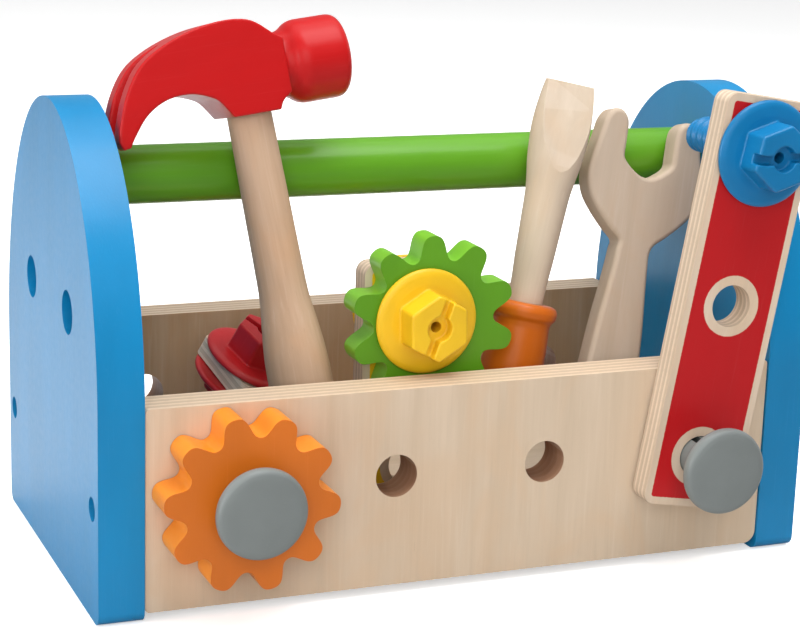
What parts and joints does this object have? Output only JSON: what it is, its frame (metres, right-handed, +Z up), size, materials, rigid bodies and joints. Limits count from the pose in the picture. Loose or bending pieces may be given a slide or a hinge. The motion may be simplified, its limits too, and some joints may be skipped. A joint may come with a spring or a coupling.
{
  "type": "toy tool box with tools",
  "caption": "Open wooden toy tool box with arched ends and a round carrying bar, holding a hammer, screwdriver, wrench, gears, drilled strips, pegs and bolts with nuts.",
  "frame": {"origin": "middle of the whole object's outline box, on the floor it stands on; the box's own footprint is centred 14.3 mm behind it because the pegs stand out in front", "axes": "+X runs along the box towards its right end, -Y is the front board with the gear and the pegs, +Z is up"},
  "size_m": [0.255, 0.1616, 0.1865],
  "materials": {
    "blue_paint": "smooth satin blue paint on wood",
    "birch_ply": "bare sanded birch plywood",
    "green_paint": "glossy green paint on a round wooden bar",
    "screw_steel": "plain steel",
    "peg_grey": "satin grey paint on wood",
    "orange_paint": "satin orange paint on wood",
    "green_gear_paint": "satin green paint on wood",
    "red_strip_ply": "red painted faces with a bare margin and bare ply edges",
    "yellow_strip_ply": "yellow painted faces with a bare margin and bare ply edges",
    "green_plate_ply": "green painted faces with a bare margin and bare ply edges",
    "blue_hardware": "satin blue",
    "yellow_hardware": "satin yellow",
    "red_hardware": "satin red",
    "hammer_red": "glossy red paint on wood",
    "beech": "bare sanded beech",
    "orange_handle": "satin orange paint on turned wood"
  },
  "bodies": {
    "box": {"left_end_panel": "blue_paint", "right_end_panel": "blue_paint", "front_panel": "birch_ply", "back_panel": "birch_ply", "base_panel": "birch_ply", "handle_bar": "green_paint", "screw_left_front": "screw_steel", "screw_left_back": "screw_steel", "screw_right_front": "screw_steel", "screw_right_back": "screw_steel"},
    "left_peg": {"left_peg": "peg_grey"},
    "orange_gear": {"orange_gear": "orange_paint"},
    "red_strip": {"red_strip": "red_strip_ply"},
    "right_peg": {"right_peg": "peg_grey"},
    "blue_bolt": {"blue_bolt": "blue_hardware"},
    "hammer": {"hammer_head": "hammer_red", "hammer_handle": "beech"},
    "screwdriver": {"screwdriver_shaft": "beech", "screwdriver_handle": "orange_handle"},
    "wrench": {"wrench": "beech"},
    "yellow_strip": {"yellow_strip": "yellow_strip_ply"},
    "green_gear": {"green_gear": "green_gear_paint"},
    "yellow_bolt": {"yellow_bolt": "yellow_hardware"},
    "yellow_nut": {"yellow_nut": "yellow_hardware"},
    "green_plate": {"green_plate": "green_plate_ply"},
    "red_bolt": {"red_bolt": "red_hardware"},
    "red_nut": {"red_nut": "red_hardware"},
    "blue_nut": {"blue_nut": "blue_hardware"}
  },
  "joints": [
    {"name": "left_peg_pull", "type": "slide", "parent": "box", "child": "left_peg", "axis": [0, -1, 0], "range_m": [-0.005, 0.045]},
    {"name": "orange_gear_spin", "type": "hinge", "parent": "box", "child": "orange_gear", "pos_m": [-0.081, -0.0589, 0.041], "axis": [0, -1, 0], "continuous": true},
    {"name": "red_strip_swing", "type": "hinge", "parent": "box", "child": "red_strip", "pos_m": [0.081, -0.0569, 0.041], "axis": [0, 1, 0], "range_deg": [-45, 3]},
    {"name": "right_peg_pull", "type": "slide", "parent": "red_strip", "child": "right_peg", "axis": [0, -1, 0], "range_m": [-0.0135, 0.04]},
    {"name": "blue_bolt_pull", "type": "slide", "parent": "red_strip", "child": "blue_bolt", "axis": [0, -1, 0], "range_m": [0, 0.045]},
    {"name": "hammer_lift", "type": "slide", "parent": "box", "child": "hammer", "axis": [-0.1357, 0, 0.9907], "range_m": [0, 0.15]},
    {"name": "screwdriver_lift", "type": "slide", "parent": "box", "child": "screwdriver", "axis": [0.2232, 0, 0.9748], "range_m": [0, 0.15]},
    {"name": "wrench_lift", "type": "slide", "parent": "box", "child": "wrench", "axis": [0.1483, 0, 0.9889], "range_m": [0, 0.3]},
    {"name": "yellow_strip_lift", "type": "slide", "parent": "box", "child": "yellow_strip", "axis": [0, -0.309, 0.9511], "range_m": [0, 0.155]},
    {"name": "green_gear_spin", "type": "hinge", "parent": "yellow_strip", "child": "green_gear", "pos_m": [-0.0061, -0.0245, 0.08646], "axis": [0, -1, 0], "continuous": true},
    {"name": "yellow_bolt_turn", "type": "hinge", "parent": "yellow_strip", "child": "yellow_bolt", "pos_m": [-0.00957, -0.0299, 0.0875], "axis": [0, -1, 0], "range_deg": [0, 722]},
    {"name": "yellow_nut_travel", "type": "slide", "parent": "yellow_strip", "child": "yellow_nut", "axis": [0, 1, 0], "range_m": [0, 0.008]},
    {"name": "green_plate_lift", "type": "slide", "parent": "box", "child": "green_plate", "axis": [0, 0.3219, 0.9468], "range_m": [0, 0.15]},
    {"name": "red_bolt_turn", "type": "hinge", "parent": "green_plate", "child": "red_bolt", "pos_m": [-0.05197, 0.02672, 0.06106], "axis": [0.3603, -0.3244, 0.8746], "range_deg": [0, 722]},
    {"name": "red_nut_travel", "type": "slide", "parent": "green_plate", "child": "red_nut", "axis": [-0.3603, 0.3244, -0.8746], "range_m": [0, 0.008]},
    {"name": "blue_nut_shift", "type": "slide", "parent": "box", "child": "blue_nut", "axis": [-1, 0, 0], "range_m": [0, 0.02]}
  ],
  "couplings": [
    {"joint": "yellow_bolt_turn", "follows": "yellow_nut_travel", "rad_per_m": 1570.8},
    {"joint": "red_bolt_turn", "follows": "red_nut_travel", "rad_per_m": 1570.8}
  ]
}
